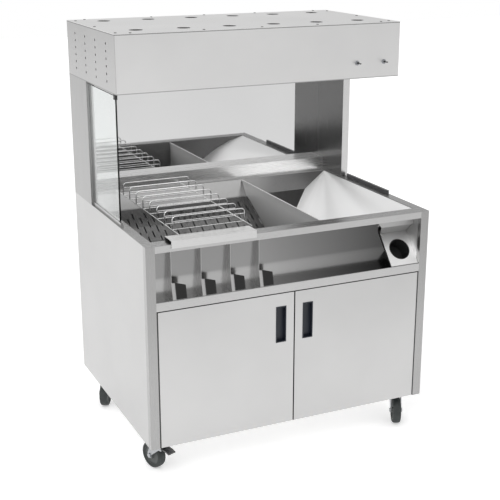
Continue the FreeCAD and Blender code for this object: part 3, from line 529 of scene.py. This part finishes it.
def sheet_piece(name, surface, thickness, material, node):
    """Thickens a surface into a sheet of the station and lets it stand for a CAD node."""
    bmesh.ops.remove_doubles(surface, verts=surface.verts, dist=WELD)
    bmesh.ops.recalc_face_normals(surface, faces=surface.faces)
    bmesh.ops.solidify(surface, geom=surface.faces[:], thickness=thickness)
    bmesh.ops.recalc_face_normals(surface, faces=surface.faces)
    mesh = bpy.data.meshes.new(name)
    surface.to_mesh(mesh)
    surface.free()
    mesh.shade_smooth()
    mesh.set_sharp_from_angle(angle=FOLD_ANGLE)
    piece = add_piece(name, mesh, material, "station")
    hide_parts(node)


RAMP_APEX = Vector((518, 330, 860)) * MM
# Edge of the ramp in millimetres, along the front of the basin and then down its left side.
RAMP_EDGE = [
    (518, -358, 860), (450, -358, 842), (390, -358, 818), (340, -358, 790), (290, -358, 756),
    (230, -358, 710), (130, -358, 628), (130, -100, 645), (130, 260, 665),
]
RAMP_ROUNDINGS = 3
CORNER_CUT = 0.25
# Shares of the way from the apex to the edge. The first ring is small, to keep the apex crisp.
RAMP_RINGS = (0.0, 0.02, 0.2, 0.4, 0.6, 0.8, 1.0)
RAMP_GAUGE = 1.2 * MM
# Sides of the basin that cut the ramp: a point in millimetres and the direction that leads out.
BASIN_SIDES = [
    ((514, 0, 0), (1, 0, 0)), ((0, 0, 858.5), (0, 0, 1)), ((0, 0, 700), (0, 0, -1)),
    ((0, -348, 715), (0, -143.5, -8)), ((0, -330, 700), (0, -15, -18)),
    ((0, 95, 700), (0, 100, -190)), ((0, 285, 800), (0, 58.5, -45)),
    (RAMP[0] / MM, (-1, 0, 0)),
]


def rounded(points):
    """A line with its corners cut again and again, between the same two ends."""
    for _ in range(RAMP_ROUNDINGS):
        cuts = [points[0]]
        for start, end in zip(points, points[1:]):
            cuts += [start.lerp(end, CORNER_CUT), start.lerp(end, 1 - CORNER_CUT)]
        points = cuts + [points[-1]]
    return points


def dump_ramp():
    """Smooth fan that rises from the front and the left of the basin to its far right corner."""
    edge = [Vector(point) * MM for point in RAMP_EDGE]
    front, left = edge[0].y, edge[-1].x
    edge = rounded(edge)
    spokes = []
    for point in edge:
        spoke = point - RAMP_APEX
        reaches = [(front - RAMP_APEX.y) / spoke.y]
        if spoke.x:
            reaches.append((left - RAMP_APEX.x) / spoke.x)
        spokes.append(spoke * min(reaches))
    surface = bmesh.new()
    for first, second in zip(spokes, spokes[1:]):
        for near, far in zip(RAMP_RINGS, RAMP_RINGS[1:]):
            corners = [RAMP_APEX + spoke * share for spoke, share in
                       ((first, near), (first, far), (second, far), (second, near))]
            if near == 0.0:
                corners.pop()
            surface.faces.new([surface.verts.new(corner) for corner in corners])
    for point, outward in BASIN_SIDES:
        everything = surface.verts[:] + surface.edges[:] + surface.faces[:]
        bmesh.ops.bisect_plane(surface, geom=everything, plane_co=Vector(point) * MM,
                               plane_no=Vector(outward).normalized(), clear_outer=True)
    sheet_piece("ramp_sheet", surface, RAMP_GAUGE, MATERIALS["ramp"], "dump_ramp")


# Shaker bracket in millimetres. Its profile runs from the foot over the fold and the knee to the
# top; its flange widens to the left by the flares, and its gusset starts a little above the foot.
BRACKET_LEFT = 402
BRACKET_RIGHT = 516.5
BRACKET_FOOT = Vector((0, -403.5, 662.2))
BRACKET_FOLD = Vector((0, -315, 765))
BRACKET_KNEE = Vector((0, -359.5, 801))
BRACKET_TOP = Vector((0, -361.5, 834))
KNEE_FLARE = 22
TOP_FLARE = 48
GUSSET_START = 20
GUSSET_GAP = 0.4
BRACKET_HOLE = 41
BRACKET_HOLE_AT = 63.5
BRACKET_STEPS = 96
BRACKET_GAUGE = 1.5 * MM
TINY = 1e-9


def shaker_bracket():
    """Sloping plate with a hole, its flange up to the top rail, and the gusset on its right."""
    surface = bmesh.new()

    def face(*corners):
        surface.faces.new([surface.verts.new(Vector(corner) * MM) for corner in corners])

    def at(place, point):
        return (place, point.y, point.z)

    slope = BRACKET_FOLD - BRACKET_FOOT
    rise = slope.normalized()
    above = slope.length - BRACKET_HOLE_AT
    below = -BRACKET_HOLE_AT
    half = (BRACKET_RIGHT - BRACKET_LEFT) / 2
    across = Vector((1, 0, 0))
    centre = across * (BRACKET_LEFT + half) + BRACKET_FOOT + rise * BRACKET_HOLE_AT
    turns = [2 * math.pi * step / BRACKET_STEPS for step in range(BRACKET_STEPS)]
    turns += [math.atan2(up, side) % (2 * math.pi) for up in (above, below)
              for side in (-half, half)]
    turns.sort()

    def spoke(turn):
        """Where a ray from the hole's centre leaves the hole and where it leaves the plate."""
        side, up = math.cos(turn), math.sin(turn)
        reaches = []
        if abs(side) > TINY:
            reaches.append(half / abs(side))
        if abs(up) > TINY:
            reaches.append((above if up > 0 else below) / up)
        away = across * side + rise * up
        return centre + away * BRACKET_HOLE, centre + away * min(reaches)

    for first, second in zip(turns, turns[1:] + turns[:1]):
        if abs(first - second) < TINY:
            continue
        inner, outer = spoke(first)
        after_inner, after_outer = spoke(second)
        face(inner, outer, after_outer, after_inner)

    knee_left = BRACKET_LEFT - KNEE_FLARE
    face(at(BRACKET_LEFT, BRACKET_FOLD), at(BRACKET_RIGHT, BRACKET_FOLD),
         at(BRACKET_RIGHT, BRACKET_KNEE), at(knee_left, BRACKET_KNEE))
    face(at(knee_left, BRACKET_KNEE), at(BRACKET_RIGHT, BRACKET_KNEE),
         at(BRACKET_RIGHT, BRACKET_TOP), at(BRACKET_LEFT - TOP_FLARE, BRACKET_TOP))
    start = BRACKET_FOOT + rise * GUSSET_START
    side = BRACKET_RIGHT + GUSSET_GAP
    face(at(side, start), at(side, BRACKET_FOLD), at(side, BRACKET_KNEE), at(side, BRACKET_TOP),
         (side, start.y, BRACKET_TOP.z))
    sheet_piece("shaker_bracket", surface, BRACKET_GAUGE, MATERIALS["plate"], "shaker_holder")


# ---- Studio ----

# Camera fitted to the photograph's view: metres, radians and millimetres of lens.
CAMERA_PLACE = Vector((-1.6145, -3.5251, 1.8808))
CAMERA_YAW = 0.4331
CAMERA_PITCH = 0.3041
CAMERA_LENS = 75.95


def camera():
    """The photograph's viewing angle, without shift."""
    data = bpy.data.cameras.new("studio_camera")
    data.lens = CAMERA_LENS
    data.sensor_width = 36
    data.clip_end = 60
    view = bpy.data.objects.new("studio_camera", data)
    view.location = CAMERA_PLACE
    ahead = Vector((math.sin(CAMERA_YAW) * math.cos(CAMERA_PITCH),
                    math.cos(CAMERA_YAW) * math.cos(CAMERA_PITCH), -math.sin(CAMERA_PITCH)))
    view.rotation_mode = "QUATERNION"
    view.rotation_quaternion = ahead.to_track_quat("-Z", "Y")
    bpy.context.scene.collection.objects.link(view)
    bpy.context.scene.camera = view


# Floor in metres. Painted shade darkens it between two distances in front of the station.
FLOOR_HALF = 14
FLOOR_DROP = 0.0005
FLOOR_SHADE_PLACE = (0.8, 2.0)
FLOOR_SHADE = 0.74
FLOOR_GLOW = 0.35


def floor():
    """Pale paper that glows a little, with painted shade that darkens it in front of the station.
    """
    mesh = bpy.data.meshes.new("studio_floor")
    level = CAD_BOX[0].z - FLOOR_DROP
    corners = [(x * FLOOR_HALF, y * FLOOR_HALF, level)
               for x, y in ((-1, -1), (1, -1), (1, 1), (-1, 1))]
    mesh.from_pydata(corners, [], [(0, 1, 2, 3)])
    plane = bpy.data.objects.new("studio_floor", mesh)
    bpy.context.scene.collection.objects.link(plane)
    shader = Shader("floor_paper")
    fibre = shader.noise(40, detail=3.0)
    near, far = FLOOR_SHADE_PLACE
    edge = shader.along("Y", CAD_BOX[0].y - near, CAD_BOX[0].y - far)
    shade = shader.blend(edge, grey(1.0), grey(FLOOR_SHADE))
    shader.link(shader.times(shader.tint(fibre, grey(0.90), grey(0.93)), shade),
                shader.surface.inputs["Base Color"])
    shader.set(Roughness=0.9, Emission_Strength=FLOOR_GLOW)
    shader.link(shade, shader.surface.inputs["Emission Color"])
    mesh.materials.append(shader.material)


def panel_light(name, place, target, width, height, power):
    """Soft rectangular light that the camera doesn't see."""
    data = bpy.data.lights.new(name, "AREA")
    data.shape = "RECTANGLE"
    data.size = width
    data.size_y = height
    data.energy = power
    light = bpy.data.objects.new(name, data)
    light.location = place
    light.rotation_mode = "QUATERNION"
    light.rotation_quaternion = (Vector(target) - Vector(place)).to_track_quat("-Z", "Y")
    light.visible_camera = False
    bpy.context.scene.collection.objects.link(light)


# Strength of the surround from just below the horizon to overhead, and across to the right.
SURROUND_HEIGHT = {"From_Min": -0.1, "From_Max": 0.9, "To_Min": 0.80, "To_Max": 1.05}
SURROUND_SIDE = {"From_Min": -0.2, "From_Max": 1.0, "To_Min": 1.0, "To_Max": 0.7}
# Lights: places and sizes in metres, power in watts.
KEY_PLACE = (-2.6, -3.2, 4.2)
KEY_TARGET = (0, 0, 0.8)
KEY_SIZE = 2.2
KEY_POWER = 45
FILL_DROP = 0.03
FILL_SIZE = (0.95, 0.42)
FILL_POWER = 1.7


def studio():
    """White backdrop, a surround that is brightest overhead and dimmer to the right, and a key."""
    world = bpy.data.worlds.new("studio")
    world.use_nodes = True
    nodes = world.node_tree.nodes
    links = world.node_tree.links

    def add(kind, **inputs):
        node = nodes.new(kind)
        for name, value in inputs.items():
            node.inputs[name.replace("_", " ")].default_value = value
        return node

    direction = nodes.new("ShaderNodeTexCoord")
    split = nodes.new("ShaderNodeSeparateXYZ")
    links.new(direction.outputs["Generated"], split.inputs["Vector"])
    height = add("ShaderNodeMapRange", **SURROUND_HEIGHT)
    side = add("ShaderNodeMapRange", **SURROUND_SIDE)
    links.new(split.outputs["Z"], height.inputs["Value"])
    links.new(split.outputs["X"], side.inputs["Value"])
    level = nodes.new("ShaderNodeMath")
    level.operation = "MULTIPLY"
    links.new(height.outputs["Result"], level.inputs[0])
    links.new(side.outputs["Result"], level.inputs[1])
    surround = nodes["Background"]
    links.new(level.outputs["Value"], surround.inputs["Strength"])
    surround.inputs["Color"].default_value = (1, 1, 1, 1)
    backdrop = add("ShaderNodeBackground", Color=(1, 1, 1, 1), Strength=1.0)
    paths = nodes.new("ShaderNodeLightPath")
    choice = nodes.new("ShaderNodeMixShader")
    links.new(paths.outputs["Is Camera Ray"], choice.inputs["Fac"])
    links.new(surround.outputs["Background"], choice.inputs[1])
    links.new(backdrop.outputs["Background"], choice.inputs[2])
    links.new(choice.outputs["Shader"], nodes["World Output"].inputs["Surface"])
    bpy.context.scene.world = world
    bpy.context.scene.view_settings.view_transform = "Standard"
    panel_light("key", KEY_PLACE, KEY_TARGET, KEY_SIZE, KEY_SIZE, KEY_POWER)
    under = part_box("hood_underside")
    place = (under[0] + under[1]) / 2
    place.z = under[0].z - FILL_DROP
    panel_light("fill_under_hood", place, (place.x, place.y, 0), *FILL_SIZE, FILL_POWER)


finish_nodes()
castor_wheels()
dump_ramp()
shaker_bracket()
camera()
floor()
studio()
